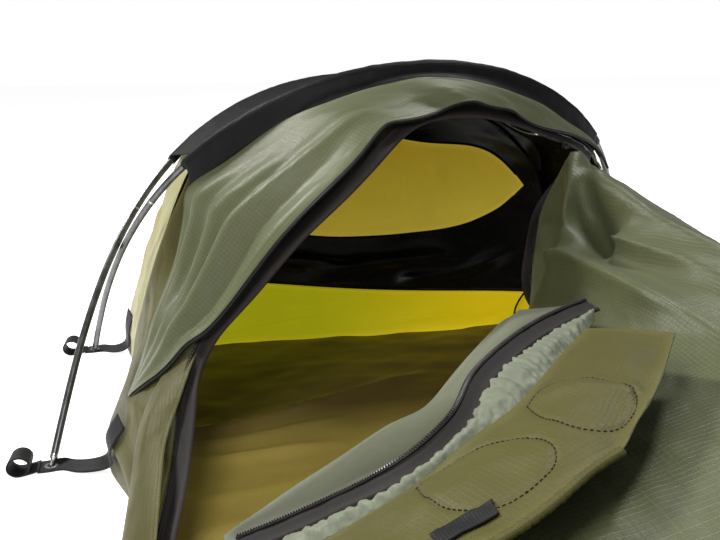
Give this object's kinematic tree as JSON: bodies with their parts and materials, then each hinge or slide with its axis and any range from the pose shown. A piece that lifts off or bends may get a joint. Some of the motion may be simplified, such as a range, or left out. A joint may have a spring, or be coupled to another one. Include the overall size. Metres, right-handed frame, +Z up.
{
  "type": "bivy sack",
  "caption": "Low one-person shelter: a tapered body and a hood over two crossed bent poles, with an open zipped door, a mesh vent window, a groundsheet and pegging tabs.",
  "frame": {"origin": "on the ground in the middle of the outline", "axes": "+Y from the feet to the head, +Z up, +X on the right of a person lying inside on the back"},
  "size_m": [1.0912, 2.3464, 0.4824],
  "materials": {
    "pole_alloy": "dark grey anodised, satin",
    "ferrule_alloy": "satin",
    "tip_alloy": "satin",
    "shock_cord": "braided cover",
    "black_nylon": "matt coated nylon",
    "liner_nylon": "thin nylon with a soft sheen",
    "webbing": "woven polypropylene webbing",
    "eyelet_metal": "nickel plated",
    "groundsheet": "coated groundsheet nylon",
    "olive_ripstop": "olive ripstop nylon with a soft sheen",
    "khaki_nylon": "khaki nylon, smooth",
    "yellow_nylon": "bright thin nylon",
    "vent_mesh": "fine insect mesh",
    "flap_lining": "smooth coated inner face",
    "zip_tape": "woven tape with moulded coil",
    "zip_metal": "black lacquer"
  },
  "bodies": {
    "shelter": {"rear_pole_left": "pole_alloy", "rear_pole_centre": "pole_alloy", "rear_pole_right": "pole_alloy", "front_pole_left": "pole_alloy", "front_pole_centre": "pole_alloy", "front_pole_right": "pole_alloy", "rear_ferrule_left": "ferrule_alloy", "rear_ferrule_right": "ferrule_alloy", "front_ferrule_left": "ferrule_alloy", "front_ferrule_right": "ferrule_alloy", "rear_tip_left": "tip_alloy", "rear_tip_right": "tip_alloy", "front_tip_left": "tip_alloy", "front_tip_right": "tip_alloy", "rear_shock_cord": "shock_cord", "front_shock_cord": "shock_cord", "rear_sleeve": "black_nylon", "front_sleeve": "black_nylon", "top_band": "black_nylon", "ground_tab_rear_left": "webbing", "ground_tab_rear_right": "webbing", "ground_tab_front_left": "webbing", "ground_tab_front_right": "webbing", "foot_loop": "webbing", "eyelet_rear_left": "eyelet_metal", "eyelet_rear_right": "eyelet_metal", "eyelet_front_left": "eyelet_metal", "eyelet_front_right": "eyelet_metal", "tub_floor": "groundsheet", "tub_wall_left": "groundsheet", "tub_wall_right": "groundsheet", "tub_wall_head": "groundsheet", "tub_wall_foot": "groundsheet", "side_panel_left": "olive_ripstop", "side_panel_right": "olive_ripstop", "head_panel": "olive_ripstop", "hood_front": "olive_ripstop", "body_front": "olive_ripstop", "body_rear": "olive_ripstop", "body_foot_panel": "olive_ripstop", "head_wall_lower": "yellow_nylon", "head_liner": "liner_nylon", "vent_mesh": "vent_mesh", "hood_zip": "zip_tape"},
    "door_flap": {"door_flap": "flap_lining", "flap_zip": "zip_tape", "flap_gather": "flap_lining"},
    "storm_flap": {"storm_flap": "khaki_nylon", "storm_flap_hem": "khaki_nylon"},
    "slider_left": {"zip_slider_left": "zip_metal"},
    "pull_left": {"slider_pull_left": "zip_metal"},
    "slider_right": {"zip_slider_right": "zip_metal"},
    "pull_right": {"slider_pull_right": "zip_metal"},
    "peg_loop_rear_left": {"peg_loop_rear_left": "webbing"},
    "peg_loop_rear_right": {"peg_loop_rear_right": "webbing"},
    "peg_loop_front_left": {"peg_loop_front_left": "webbing"},
    "peg_loop_front_right": {"peg_loop_front_right": "webbing"}
  },
  "joints": [
    {"name": "door_flap_hinge", "type": "hinge", "parent": "shelter", "child": "door_flap", "pos_m": [-0.1235, 0.509, 0.166], "axis": [-0.8372, -0.5252, -0.1526], "range_deg": [0, 75]},
    {"name": "storm_flap_hinge", "type": "hinge", "parent": "door_flap", "child": "storm_flap", "pos_m": [-0.115, 0.3365, 0.226], "axis": [-0.922, -0.2998, -0.245], "range_deg": [0, 70]},
    {"name": "left_slider_travel", "type": "slide", "parent": "shelter", "child": "slider_left", "axis": [0.1607, 0.7712, 0.6159], "range_m": [-0.02, 0.09]},
    {"name": "left_pull_swing", "type": "hinge", "parent": "slider_left", "child": "pull_left", "pos_m": [-0.33816, 0.54802, 0.09695], "axis": [-0.9807, 0.1951, 0.0116], "range_deg": [0, 120]},
    {"name": "right_slider_travel", "type": "slide", "parent": "shelter", "child": "slider_right", "axis": [-0.8465, -0.4354, 0.3064], "range_m": [0, 0.05]},
    {"name": "right_pull_swing", "type": "hinge", "parent": "slider_right", "child": "pull_right", "pos_m": [0.20359, 0.7831, 0.37061], "axis": [-0.0907, -0.4491, -0.8889], "range_deg": [0, 120]},
    {"name": "peg_loop_rear_left_fold", "type": "hinge", "parent": "shelter", "child": "peg_loop_rear_left", "pos_m": [-0.5134, 0.753, 0.001], "axis": [0, 1, 0], "range_deg": [0, 50]},
    {"name": "peg_loop_rear_right_fold", "type": "hinge", "parent": "shelter", "child": "peg_loop_rear_right", "pos_m": [0.5134, 0.753, 0.001], "axis": [0, -1, 0], "range_deg": [0, 50]},
    {"name": "peg_loop_front_left_fold", "type": "hinge", "parent": "shelter", "child": "peg_loop_front_left", "pos_m": [-0.4884, 1.114, 0.001], "axis": [0, 1, 0], "range_deg": [0, 50]},
    {"name": "peg_loop_front_right_fold", "type": "hinge", "parent": "shelter", "child": "peg_loop_front_right", "pos_m": [0.4884, 1.114, 0.001], "axis": [0, -1, 0], "range_deg": [0, 50]}
  ]
}
